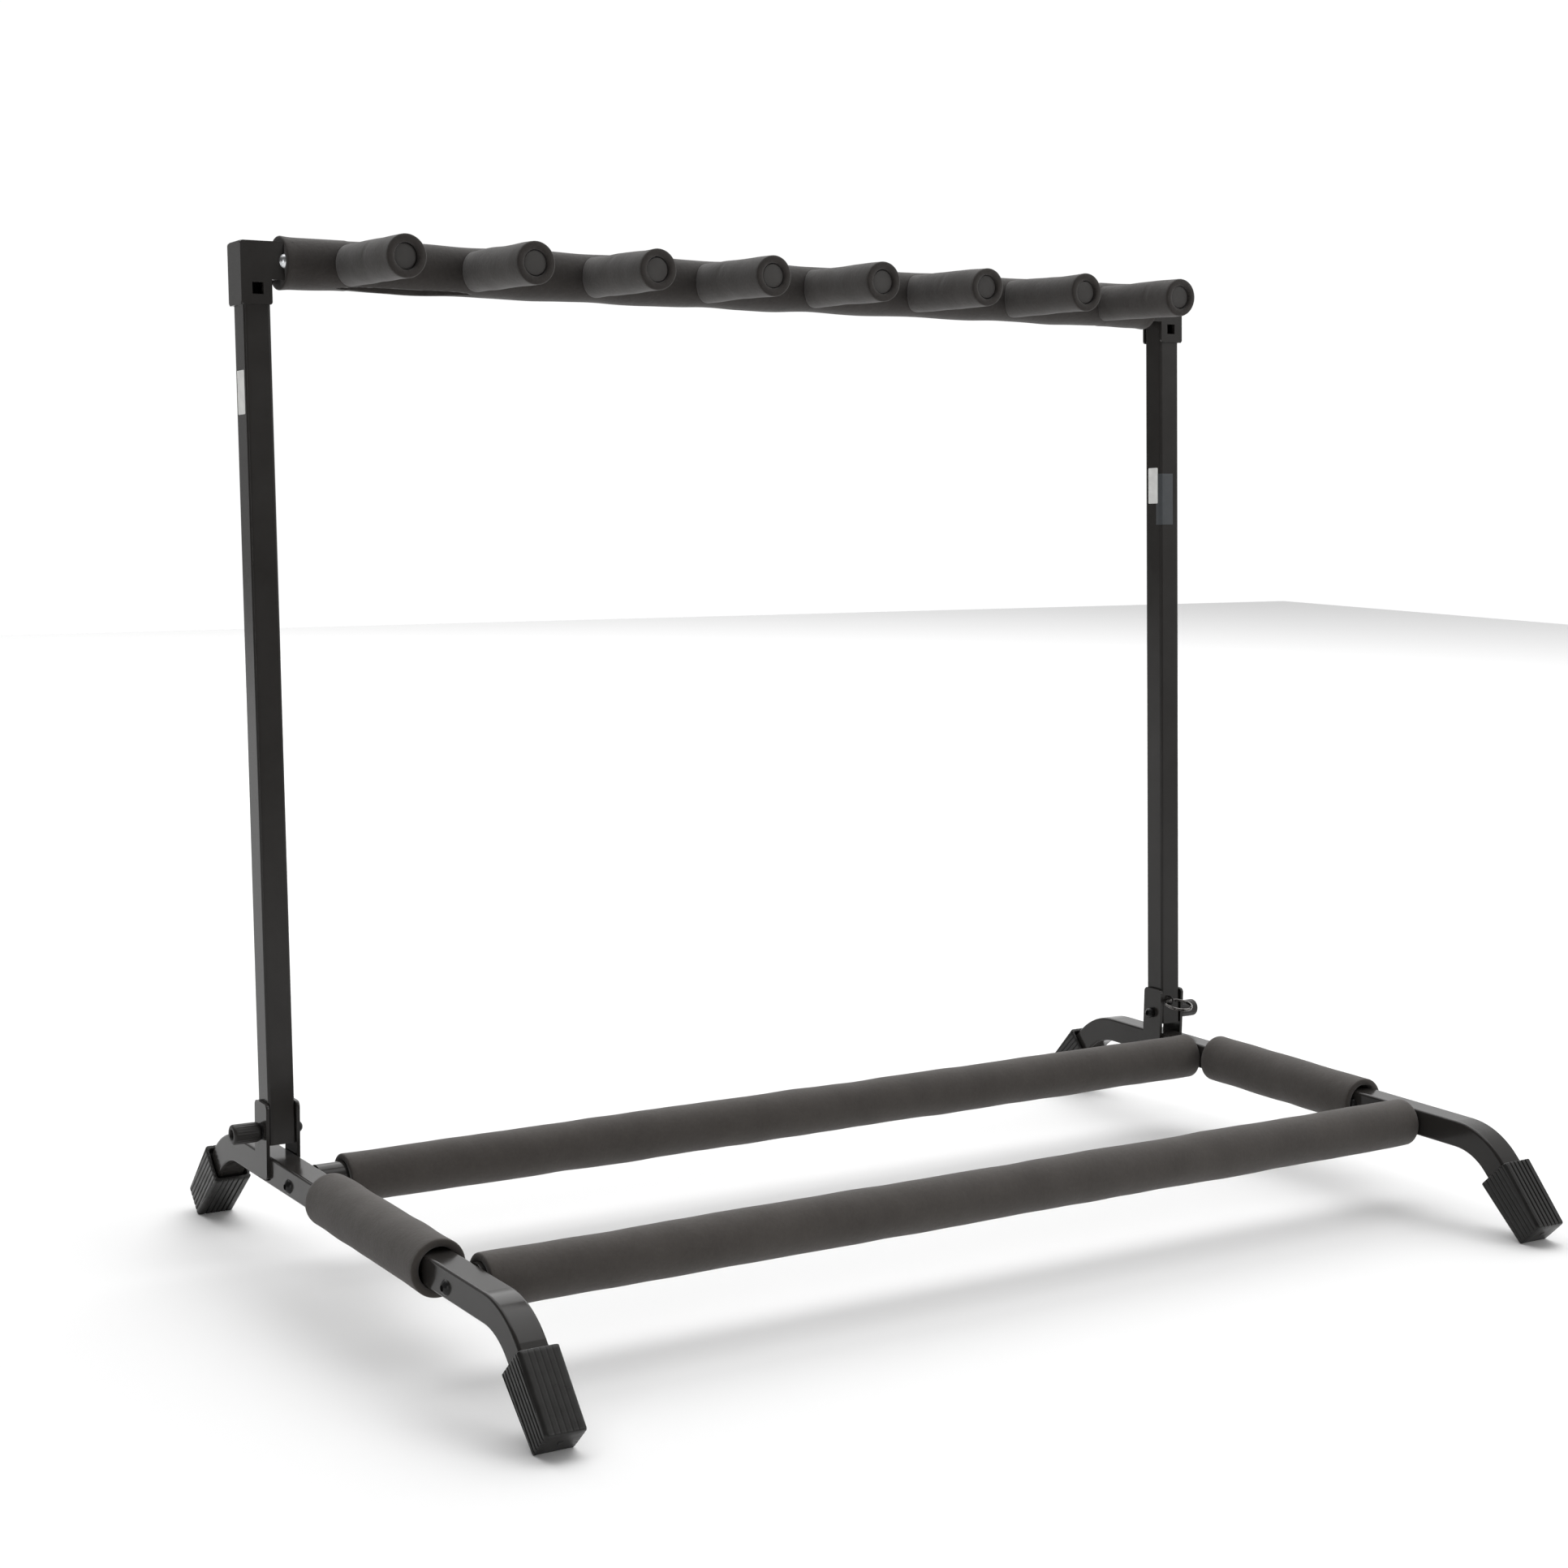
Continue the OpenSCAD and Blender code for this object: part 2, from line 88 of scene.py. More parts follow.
def make_camera():
    yaw, pitch, roll = (math.radians(a) for a in CAMERA_ANGLES)
    ahead = math.cos(pitch)
    forward = Vector((-math.sin(yaw) * ahead, math.cos(yaw) * ahead, math.sin(pitch)))
    level = Vector((math.cos(yaw), math.sin(yaw), 0))
    upward = level.cross(forward)
    right = level * math.cos(roll) + upward * math.sin(roll)
    up = upward * math.cos(roll) - level * math.sin(roll)
    data = bpy.data.cameras.new("camera")
    data.sensor_width = CAMERA_SENSOR
    data.lens = CAMERA_LENS
    data.clip_end = CAMERA_CLIP_END
    camera = bpy.data.objects.new("camera", data)
    bpy.context.scene.collection.objects.link(camera)
    turn = Matrix((right, up, -forward)).transposed().to_4x4()
    camera.matrix_world = Matrix.Translation(CAMERA_PLACE) @ turn
    bpy.context.scene.camera = camera


def area_light(name, place, target, width, height, power):
    data = bpy.data.lights.new(name, "AREA")
    data.shape = "RECTANGLE"
    data.size = width
    data.size_y = height
    data.energy = power
    lamp = bpy.data.objects.new(name, data)
    bpy.context.scene.collection.objects.link(lamp)
    lamp.location = place
    lamp.rotation_euler = (Vector(target) - Vector(place)).to_track_quat("-Z", "Y").to_euler()


def map_range(nodes, links, source, start, end, low, high):
    """Maps start..end to low..high."""
    node = nodes.new("ShaderNodeMapRange")
    node.inputs["From Min"].default_value = start
    node.inputs["From Max"].default_value = end
    node.inputs["To Min"].default_value = low
    node.inputs["To Max"].default_value = high
    links.new(source, node.inputs["Value"])
    return node.outputs["Result"]


def make_world():
    """White surroundings that are brighter on one side, so the faces of a tube differ."""
    world = bpy.data.worlds.new("studio")
    world.use_nodes = True
    nodes, links = world.node_tree.nodes, world.node_tree.links
    coords = nodes.new("ShaderNodeTexCoord")
    facing = nodes.new("ShaderNodeVectorMath")
    facing.operation = "DOT_PRODUCT"
    facing.inputs[1].default_value = BRIGHT_SIDE
    links.new(coords.outputs["Generated"], facing.inputs[0])
    glow = map_range(nodes, links, facing.outputs["Value"], start=-0.25, end=0.55, low=0.1, high=1.02)
    links.new(glow, nodes["Background"].inputs["Strength"])
    nodes["Background"].inputs["Color"].default_value = (1, 1, 1, 1)
    bpy.context.scene.world = world
    bpy.context.scene.view_settings.view_transform = "Standard"


def make_lights():
    area_light("overhead", place=(0.8, 2.2, 4.0), target=(0.4, 1.2, 0), width=7.0, height=7.0, power=300)
    area_light("key", place=(1.8, -2.6, 1.8), target=(0.1, 0, 0.3), width=1.6, height=1.4, power=20)
    area_light("edge_strip", place=(-2.6, -1.9, 0.7), target=(0, 0, 0.4), width=0.12, height=1.8, power=9)


def make_floor():
    """Matt sheet, darker round the rack as painted shade and whiter far away as painted light."""
    mesh = bpy.data.meshes.new("floor")
    corners = [(x * FLOOR_REACH, y * FLOOR_REACH, 0) for x, y in ((-1, -1), (1, -1), (1, 1), (-1, 1))]
    mesh.from_pydata(corners, [], [(0, 1, 2, 3)])
    floor = bpy.data.objects.new("floor", mesh)
    bpy.context.scene.collection.objects.link(floor)
    mat, nodes, links, shader = new_material("floor")
    coords = nodes.new("ShaderNodeTexCoord")
    away = nodes.new("ShaderNodeVectorMath")
    away.operation = "LENGTH"
    links.new(coords.outputs["Object"], away.inputs[0])
    # painted shade round the rack, fading to painted light far away
    floor_painted_light_and_shade = map_range(nodes, links, away.outputs["Value"], start=1.2, end=4.0, low=NEAR_FLOOR_PAINTED_SHADE,
        high=FAR_FLOOR_PAINTED_LIGHT)
    links.new(floor_painted_light_and_shade, shader.inputs["Base Color"])
    shader.inputs["Roughness"].default_value = 0.9
    mesh.materials.append(mat)


# ---------------------------------------------------------------- materials

def new_material(name):
    mat = bpy.data.materials.new(name)
    mat.use_nodes = True
    nodes = mat.node_tree.nodes
    return mat, nodes, mat.node_tree.links, nodes["Principled BSDF"]


def noise_texture(nodes, links, scale, detail, rough=0.55, stretch=(1, 1, 1)):
    coords = nodes.new("ShaderNodeTexCoord")
    mapping = nodes.new("ShaderNodeMapping")
    mapping.inputs["Scale"].default_value = stretch
    texture = nodes.new("ShaderNodeTexNoise")
    texture.inputs["Scale"].default_value = scale
    texture.inputs["Detail"].default_value = detail
    texture.inputs["Roughness"].default_value = rough
    links.new(coords.outputs["Object"], mapping.inputs["Vector"])
    links.new(mapping.outputs["Vector"], texture.inputs["Vector"])
    return texture.outputs["Fac"]


def cell_texture(nodes, links, scale):
    coords = nodes.new("ShaderNodeTexCoord")
    texture = nodes.new("ShaderNodeTexVoronoi")
    texture.inputs["Scale"].default_value = scale
    links.new(coords.outputs["Object"], texture.inputs["Vector"])
    return texture.outputs["Distance"]


def ramp(nodes, links, source, stops):
    """Colour or grey ramp from (position, value) stops."""
    node = nodes.new("ShaderNodeValToRGB")
    node.color_ramp.elements[0].position = stops[0][0]
    node.color_ramp.elements[1].position = stops[-1][0]
    for place, _ in stops[1:-1]:
        node.color_ramp.elements.new(place)
    for element, (_, value) in zip(node.color_ramp.elements, stops):
        element.color = (*value, 1) if hasattr(value, "__len__") else (value, value, value, 1)
    links.new(source, node.inputs["Fac"])
    return node.outputs["Color"]


def bump(nodes, links, source, strength, distance, under=None):
    node = nodes.new("ShaderNodeBump")
    node.inputs["Strength"].default_value = strength
    node.inputs["Distance"].default_value = distance
    links.new(source, node.inputs["Height"])
    if under is not None:
        links.new(under, node.inputs["Normal"])
    return node.outputs["Normal"]


def powder_coat(name, dark, light, rough):
    """Baked powder coat: fine orange peel, faint dust and a little polish from handling."""
    mat, nodes, links, shader = new_material(name)
    tint = noise_texture(nodes, links, scale=18, detail=4)
    links.new(ramp(nodes, links, tint, [(0.3, dark), (0.75, light)]), shader.inputs["Base Color"])
    smear = noise_texture(nodes, links, scale=55, detail=5, rough=0.6)
    polish = ramp(nodes, links, smear, [(0.3, rough - 0.04), (0.7, rough + 0.05)])
    links.new(polish, shader.inputs["Roughness"])
    shader.inputs["Specular IOR Level"].default_value = 0.2
    shader.inputs["Coat Weight"].default_value = 0.04
    shader.inputs["Coat Roughness"].default_value = 0.08
    peel = noise_texture(nodes, links, scale=1300, detail=2, rough=0.5)
    lumps = noise_texture(nodes, links, scale=260, detail=2, rough=0.5)
    low = bump(nodes, links, lumps, strength=0.025, distance=0.0001)
    high = bump(nodes, links, peel, strength=0.035, distance=0.00006, under=low)
    links.new(high, shader.inputs["Normal"])
    return mat


def closed_cell_foam(name, dark, light):
    """Skinned closed-cell foam: matte, with fine cells and uneven colour."""
    mat, nodes, links, shader = new_material(name)
    cloud = noise_texture(nodes, links, scale=26, detail=6, rough=0.62)
    links.new(ramp(nodes, links, cloud, [(0.28, dark), (0.72, light)]), shader.inputs["Base Color"])
    grain = noise_texture(nodes, links, scale=420, detail=3, rough=0.6)
    links.new(ramp(nodes, links, grain, [(0.3, 0.78), (0.7, 0.93)]), shader.inputs["Roughness"])
    shader.inputs["Sheen Weight"].default_value = 0.16
    shader.inputs["Sheen Roughness"].default_value = 0.6
    shader.inputs["Specular IOR Level"].default_value = 0.3
    dents = noise_texture(nodes, links, scale=90, detail=3, rough=0.55)
    cells = cell_texture(nodes, links, scale=1500)
    low = bump(nodes, links, dents, strength=0.22, distance=0.0012)
    mid = bump(nodes, links, grain, strength=0.3, distance=0.0004, under=low)
    high = bump(nodes, links, cells, strength=0.35, distance=0.0002, under=mid)
    links.new(high, shader.inputs["Normal"])
    return mat


def moulded(name, dark, light, rough):
    """Moulded rubber or plastic with a fine tool grain."""
    mat, nodes, links, shader = new_material(name)
    shader.inputs["Specular IOR Level"].default_value = 0.26
    cloud = noise_texture(nodes, links, scale=45, detail=4)
    links.new(ramp(nodes, links, cloud, [(0.3, dark), (0.7, light)]), shader.inputs["Base Color"])
    patch = noise_texture(nodes, links, scale=120, detail=4)
    wear = ramp(nodes, links, patch, [(0.3, rough - 0.07), (0.7, rough + 0.08)])
    links.new(wear, shader.inputs["Roughness"])
    grain = noise_texture(nodes, links, scale=900, detail=3, rough=0.6)
    links.new(bump(nodes, links, grain, strength=0.25, distance=0.00012), shader.inputs["Normal"])
    return mat


def plated(name, dark, light, rough):
    """Bright plating over turned or drawn steel."""
    mat, nodes, links, shader = new_material(name)
    shader.inputs["Metallic"].default_value = 1.0
    cloud = noise_texture(nodes, links, scale=300, detail=4)
    links.new(ramp(nodes, links, cloud, [(0.3, dark), (0.7, light)]), shader.inputs["Base Color"])
    links.new(ramp(nodes, links, cloud, [(0.3, rough), (0.7, rough + 0.16)]), shader.inputs["Roughness"])
    lines = noise_texture(nodes, links, scale=900, detail=2, rough=0.5, stretch=(1, 1, 0.15))
    links.new(bump(nodes, links, lines, strength=0.15, distance=0.0001), shader.inputs["Normal"])
    return mat


def label_film(name, colour, rough):
    """Thin printed film without lettering, slightly uneven."""
    mat, nodes, links, shader = new_material(name)
    cloud = noise_texture(nodes, links, scale=150, detail=3)
    soft = tuple(c * 0.9 for c in colour)
    links.new(ramp(nodes, links, cloud, [(0.35, soft), (0.65, colour)]), shader.inputs["Base Color"])
    shader.inputs["Roughness"].default_value = rough
    ripple = noise_texture(nodes, links, scale=110, detail=2)
    links.new(bump(nodes, links, ripple, strength=0.2, distance=0.0004), shader.inputs["Normal"])
    return mat


# ---------------------------------------------------------------- mesh helpers

def piece(name, mesh, material, body, sharp=40):
    """Finishes a mesh as a piece of the object that rides on a body."""
    bm = bmesh.new()
    bm.from_mesh(mesh)
    bmesh.ops.recalc_face_normals(bm, faces=bm.faces)
    bm.to_mesh(mesh)
    bm.free()
    mesh.shade_smooth()
    mesh.set_sharp_from_angle(angle=math.radians(sharp))
    mesh.materials.append(material)
    obj = bpy.data.objects.new(name, mesh)
    bpy.context.scene.collection.objects.link(obj)
    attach(obj, body)
    return obj


def loft(name, loops, ring=False):
    """Mesh through closed loops of equal length. A ring joins the last loop to the first. Otherwise both
    ends are capped."""
    loops = np.asarray(loops, float)
    count, around = loops.shape[:2]
    faces = []
    for i in range(count if ring else count - 1):
        a, b = i * around, (i + 1) % count * around
        for j in range(around):
            k = (j + 1) % around
            faces.append((a + j, a + k, b + k, b + j))
    if not ring:
        faces.append(tuple(range(around)))
        faces.append(tuple(range((count - 1) * around, count * around)))
    mesh = bpy.data.meshes.new(name)
    mesh.from_pydata([tuple(p) for p in loops.reshape(-1, 3)], [], faces)
    mesh.update()
    return mesh


def placed(loops, matrix):
    """Loops in local millimetres, moved by a matrix in metres."""
    m = np.array(matrix)
    return np.asarray(loops, float) * MM @ m[:3, :3].T + m[:3, 3]


def smooth_step(t):
    t = np.clip(t, 0, 1)
    return t * t * (3 - 2 * t)


def rounded_rect(width, depth, radius, per_side, per_corner):
    """Points round a rectangle with round corners, always the same number in the same order."""
    points = []
    for quarter in range(4):
        sx, sy = ((1, 1), (-1, 1), (-1, -1), (1, -1))[quarter]
        centre = np.array([sx * (width / 2 - radius), sy * (depth / 2 - radius)])
        for i in range(per_corner):
            a = math.radians(90 * (quarter + i / (per_corner - 1)))
            points.append(centre + radius * np.array([math.cos(a), math.sin(a)]))
        nx, ny = ((-1, 1), (-1, -1), (1, -1), (1, 1))[quarter]
        a = math.radians(90 * (quarter + 1))
        start = points[-1]
        end = np.array([nx * (width / 2 - radius), ny * (depth / 2 - radius)])
        end = end + radius * np.array([math.cos(a), math.sin(a)])
        for i in range(1, per_side + 1):
            points.append(start + (end - start) * i / (per_side + 1))
    return np.array(points)


def swept(name, path, radii, sides):
    """Closed tube along a path of points, in metres, with one radius a point."""
    path = [Vector(p) for p in path]
    loops = []
    normal = None
    for i, point in enumerate(path):
        along = (path[min(i + 1, len(path) - 1)] - path[max(i - 1, 0)]).normalized()
        if normal is None:
            normal = along.orthogonal().normalized()
        normal = (normal - along * normal.dot(along)).normalized()
        other = along.cross(normal)
        angles = [2 * math.pi * k / sides for k in range(sides)]
        loops.append([point + radii[i] * (math.cos(a) * normal + math.sin(a) * other) for a in angles])
    return loft(name, loops)


# ---------------------------------------------------------------- foam tubes

FOAM_LIP = 1.3                         # rounding of a cut end, mm
LIP_STEPS = (0, 30, 60, 90)            # degrees round that rounding
SEED_STEP = 7.3                        # keeps the noise of one foam away from the next one's


class Waves:
    """A seeded sum of slow waves along and round a tube, in millimetres."""

    COUNT = 5

    def __init__(self, seed, height, shortest, longest):
        draw = random.Random(seed)
        self.terms = []
        for _ in range(self.COUNT):
            share = draw.uniform(0.5, 1) * height / self.COUNT ** 0.5
            length = draw.uniform(shortest, longest)
            turns = draw.choice((0, 0, 1, 2))
            self.terms.append((share, length, turns, draw.uniform(0, 2 * math.pi)))

    def at(self, s, angle):
        total = np.zeros(np.broadcast(s, angle).shape)
        for height, length, turns, phase in self.terms:
            total = total + height * np.sin(2 * np.pi * s / length + turns * angle + phase)
        return total


def foam_loops(length, outer, bore, shape, start=None, sides=96, step=3.0):
    """Rings of a foam tube along local +Z: outside, far end, bore and near end, to be joined in a ring.
    shape(s, angle) gives what is added to the outer radius, bore(angle) the inner radius and start(angle)
    where the near end is, all in mm."""
    angle = np.linspace(0, 2 * np.pi, sides, endpoint=False)
    first = np.zeros(sides) if start is None else start(angle)
    rings = []

    def ring(t, radius):
        rings.append(np.stack([radius * np.cos(angle), radius * np.sin(angle), t], axis=1))

    count = max(8, int(length / step))
    lip = [(FOAM_LIP * (1 - math.cos(a)), FOAM_LIP * (1 - math.sin(a)))
        for a in (math.radians(d) for d in LIP_STEPS)]
    inner = bore(angle)
    for back, drop in lip:
        s = first + back
        ring(s, outer / 2 + shape(s, angle) - drop)
    for i in range(1, count):
        s = first + FOAM_LIP + (length - 2 * FOAM_LIP - first) * i / count
        ring(s, outer / 2 + shape(s, angle))
    for back, drop in reversed(lip):
        s = np.full(sides, length - back)
        ring(s, outer / 2 + shape(s, angle) - drop)
    edge = outer / 2 + shape(np.full(sides, float(length)), angle) - FOAM_LIP
    ring(np.full(sides, length + 0.15), (edge + inner) / 2 + 0.4)
    ring(np.full(sides, length - 0.1), inner + 0.5)
    ring(np.full(sides, length - 0.8), inner)
    ring(first + 0.8, inner)
    ring(first + 0.1, inner + 0.5)
    return rings


def round_bore(diameter):
    """Inner radius of a round bore, the same at every angle."""
    return lambda angle: np.full(angle.shape, diameter / 2)


def fine_dents(seed, height, scale):
    """Small irregular dents from a noise field, as a shape for a foam tube."""
    def shape(s, angle, radius=17.0):
        s, angle = np.broadcast_arrays(s, angle)
        out = np.empty(s.shape)
        for i in np.ndindex(s.shape):
            across = math.cos(angle[i]) * radius / scale
            sideways = math.sin(angle[i]) * radius / scale
            spot = Vector((across, sideways, s[i] / scale))
            out[i] = noise.noise(spot + Vector((seed * SEED_STEP, 0, 0)))
        return out * height
    return shape


def foam_piece(name, node, loops, matrix, body, material):
    """Makes a foam from its loops. It stands in for its plain CAD node."""
    mesh = loft(name, placed(loops, matrix), ring=True)
    obj = piece(name, mesh, material, body, sharp=60)
    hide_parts(node)
    return obj


# ---------------------------------------------------------------- the pieces

BAR_BORE, SLEEVE_BORE = 25.4, 27.4             # mm, over the body bars and the square legs
TOP_BORE, PRONG_BORE = 20.6, 18.4              # mm, over the top bar and the prongs
TOP_OUTER = 35.6
TOP_REACH = 385.5                              # half length: the foam is pushed over the bracket arms
SWELL = 0.55                                   # bulge of the top foam between prongs, mm
SLIT_ANGLE = math.radians(-20)                 # round the tube, from straight down towards the front
SLIT_DEPTH = 7.0


def straight_foam(name, node, axis, waves, dents, bore, turn):
    """A foam tube without features over the whole box of its node, along X (0) or Y (1)."""
    low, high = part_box(node)
    length = (high[axis] - low[axis]) / MM
    outer = (high.z - low.z) / MM

    def shape(s, angle):
        return waves.at(s, angle) + dents(s, angle)

    loops = foam_loops(length, outer, round_bore(bore), shape)
    start = middle(node)
    start[axis] = low.x if axis == 0 else high.y
    foam_piece(name, node, loops, Matrix.Translation(start) @ turn, "base", FOAM)


def make_bar_foams():
    along_x = Matrix.Rotation(math.pi / 2, 4, "Y")
    for which, seed in (("rear", 11), ("front", 12)):
        straight_foam(f"{which}_bar_foam_tube", f"{which}_bar_foam", 0, Waves(seed, 0.35, 70, 420),
            fine_dents(seed, 0.45, 26), BAR_BORE, along_x)


def make_leg_sleeves():
    towards_front = Matrix.Rotation(math.pi / 2, 4, "X")
    for side, seed in (("left", 21), ("right", 22)):
        straight_foam(f"{side}_leg_foam_sleeve", f"{side}_leg_foam", 1, Waves(seed, 0.4, 60, 240),
            fine_dents(seed, 0.5, 24), SLEEVE_BORE, towards_front)


def make_top_foam():
    """Foam of the top bar: a swelling between prongs, flared ends and a slit that has opened under it."""
    xs = [middle(f"prong_{i}_plug").x / MM for i in PRONGS]
    pitch = xs[1] - xs[0]
    waves = Waves(31, 0.35, 80, 500)
    dents = fine_dents(31, 0.5, 28)

    def shape(s, angle):
        x = s - TOP_REACH
        between = np.cos(2 * np.pi * (x - (xs[0] + pitch / 2)) / pitch)
        swell = SWELL * between * np.where(np.abs(x) < xs[-1], 1, 0.3)
        down = np.abs((angle - SLIT_ANGLE + np.pi) % (2 * np.pi) - np.pi)
        t = np.clip((x - xs[0] + 8) / (pitch + 4), 0, 1)
        half_gap = 0.15 * np.sin(np.pi * t) ** 0.6
        slit = -SLIT_DEPTH * smooth_step(1.6 - down / np.maximum(half_gap, 1e-4)) * (half_gap > 0.01)
        mouth = 0.7 * np.exp(-((np.abs(x) - TOP_REACH) / 5) ** 2)
        return waves.at(s, angle) + dents(s, angle) + swell + slit + mouth

    bore = round_bore(TOP_BORE)
    loops = foam_loops(2 * TOP_REACH, TOP_OUTER, bore, shape, sides=144, step=2.6)
    start = Matrix.Translation((-TOP_REACH * MM, 0, 0))
    matrix = TOP_BAR @ start @ Matrix.Rotation(math.pi / 2, 4, "Y")
    foam_piece("top_bar_foam_tube", "top_bar_foam", loops, matrix, "upright_frame", TOP_FOAM_WITH_PAINTED_SHADE)


def prong_matrix(i):
    """Local +Z runs out along a prong from the middle of the top bar."""
    x = middle(f"prong_{i}_plug").x
    turn = Matrix.Rotation(math.pi / 2 + PRONG_DROOP, 4, "X")
    return TOP_BAR @ Matrix.Translation((x, 0, 0)) @ turn


def make_prong_foams():
    """Prong foams, each cut to the round of the top foam, with its own dents and one crease."""
    outer, reach = 29.0, 105.0
    bite = 0.6                                 # how far the cut end sinks into the top foam

    def saddle(angle):
        across = outer / 2 * np.sin(angle)
        return np.sqrt(np.maximum((TOP_OUTER / 2) ** 2 - across ** 2, 1)) - bite

    for i in PRONGS:
        waves = Waves(40 + i, 0.3, 50, 160)
        dents = fine_dents(40 + i, 0.4, 20)
        draw = random.Random(400 + i)
        crease_at = draw.uniform(45, 85)
        crease_turn = draw.uniform(0, 2 * math.pi)

        def shape(s, angle):
            near = np.abs((angle - crease_turn + np.pi) % (2 * np.pi) - np.pi)
            crease = -0.5 * np.exp(-((s - crease_at) / 1.6) ** 2) * np.exp(-(near / 0.5) ** 2)
            return waves.at(s, angle) + dents(s, angle, outer / 2) + crease

        bore = round_bore(PRONG_BORE)
        loops = foam_loops(reach, outer, bore, shape, saddle, sides=80, step=2.5)
        foam_piece(f"prong_{i}_foam_tube", f"prong_{i}_foam", loops, prong_matrix(i), "upright_frame",
            TOP_FOAM_WITH_PAINTED_SHADE)


BOOT_LEN, BOOT_MOUTH, BOOT_TIP, BOOT_W = 53.5, 31.0, 25.0, 27.5
BOOT_SLOPE = math.radians(45)
BOOT_RIBS = 6
GROOVE_WIDTH = 1.0
GROOVE_END = 2.4                               # plain strip beside each corner, mm
REST_CUT = 1.0                                 # trimmed off the lowest corner, mm
BOOT_POINTS = (90, 8)                          # points on each side and in each corner of an outline

# Depth of the grooves on the sides, the top and the floor face of each boot. Some sit a quarter turn round.
BOOT_GROOVES = {"front_left": (1.0, 0.12, 0.9), "rear_left": (1.0, 0.3, 1.0),
    "front_right": (0.3, 1.0, 0.9), "rear_right": (0.9, 0.3, 1.0)}


def ribbed(points, deep, grooves):
    """Presses axial grooves into the four flats of a boot outline."""
    sides, upper, lower = grooves
    out = points.copy()
    step = (BOOT_W - 4) / BOOT_RIBS
    reach = np.abs(points).max(axis=0)
    for axis, other in ((0, 1), (1, 0)):
        flat = np.abs(np.abs(points[:, axis]) - reach[axis]) < 0.02
        flat &= np.abs(points[:, other]) < reach[other] - GROOVE_END
        phase = np.abs((points[:, other] / step + 0.5) % 1 - 0.5) * step
        share = sides if axis == 0 else np.where(points[:, 1] > 0, lower, upper)
        cut = deep * share * smooth_step((GROOVE_WIDTH / 2 + 0.25 - phase) / 0.5) * flat
        out[:, axis] -= np.sign(points[:, axis]) * cut
    return out


def boot_loops(grooves):
    """Outline loops of a boot in mm: X across the leg, Y towards the floor, Z from mouth to closed end.
    They run from the bottom of the pocket to the mouth, then down the outside and over the end."""
    def outline(grow, t, radius, ribs):
        depth = BOOT_MOUTH + (BOOT_TIP - BOOT_MOUTH) * t
        flat = rounded_rect(BOOT_W + 2 * grow, depth + 2 * grow, radius, *BOOT_POINTS)
        return ribbed(flat, ribs, grooves)

    loops = []

    def add(flat, z):
        loops.append(np.column_stack([flat, np.full(len(flat), z)]))

    for z, width, height in ((BOOT_LEN - 5, 19, 19), (7, 20.4, 20.4),
            (6.5, 22.6, 24.6), (0.6, 23, 25), (0, 23.8, 25.8)):
        add(rounded_rect(width, height, 2, *BOOT_POINTS), z)
    for z, grow, ribs in ((0, -0.5, 0.6), (0.2, -0.2, 0.8), (0.6, 0, 0.9), (3, 0, 0.9),
            (14, 0, 0.9), (26, 0, 0.9), (38, 0, 0.9), (BOOT_LEN - 3, 0, 0.9), (BOOT_LEN - 1.6, 0, 0.8),
            (BOOT_LEN - 0.8, -0.1, 0.7), (BOOT_LEN - 0.3, -0.35, 0.5), (BOOT_LEN, -0.9, 0.1)):
        add(outline(grow, z / BOOT_LEN, 2.6, ribs), z)
    end = loops[-1][:, :2]
    for shrink, z in ((0.6, 0), (0.14, 0), (0.12, 0.35), (0.07, 0.45)):
        add(end * shrink, BOOT_LEN + z)
    return loops


def make_boots():
    for place, grooves in BOOT_GROOVES.items():
        node = f"{place}_boot"
        low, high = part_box(node)
        outward = -1 if place.startswith("front") else 1
        tip = BOOT_TIP / 2 * MM * math.sin(BOOT_SLOPE)
        end_y = (low.y if outward < 0 else high.y) - outward * tip
        end = Vector(((low.x + high.x) / 2, end_y, -REST_CUT * MM + tip))
        along = Vector((0, outward * math.cos(BOOT_SLOPE), -math.sin(BOOT_SLOPE)))
        floorward = Vector((0, -outward * math.sin(BOOT_SLOPE), -math.cos(BOOT_SLOPE)))
        turn = Matrix((AXIS_X, floorward, along)).transposed().to_4x4()
        mouth = Matrix.Translation(end - along * BOOT_LEN * MM)
        points = placed(boot_loops(grooves), mouth @ turn)
        points[..., 2] = np.maximum(points[..., 2], 0)
        obj = piece(f"{place}_rubber_boot", loft(node, points), RUBBER, "base", sharp=35)
        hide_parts(node)


def turned(profile, around, shape=None):
    """Loops of a turned piece about local +Z: profile holds (radius, height) pairs in mm."""
    angle = np.linspace(0, 2 * np.pi, around, endpoint=False)
    loops = []
    for radius, z in profile:
        r = np.full(around, float(radius)) + (shape(radius, z, angle) if shape else 0)
        loops.append(np.stack([r * np.cos(angle), r * np.sin(angle), np.full(around, float(z))], axis=1))
    return loops


KNOB_RIBS, RIB_HEIGHT = 22, 0.13


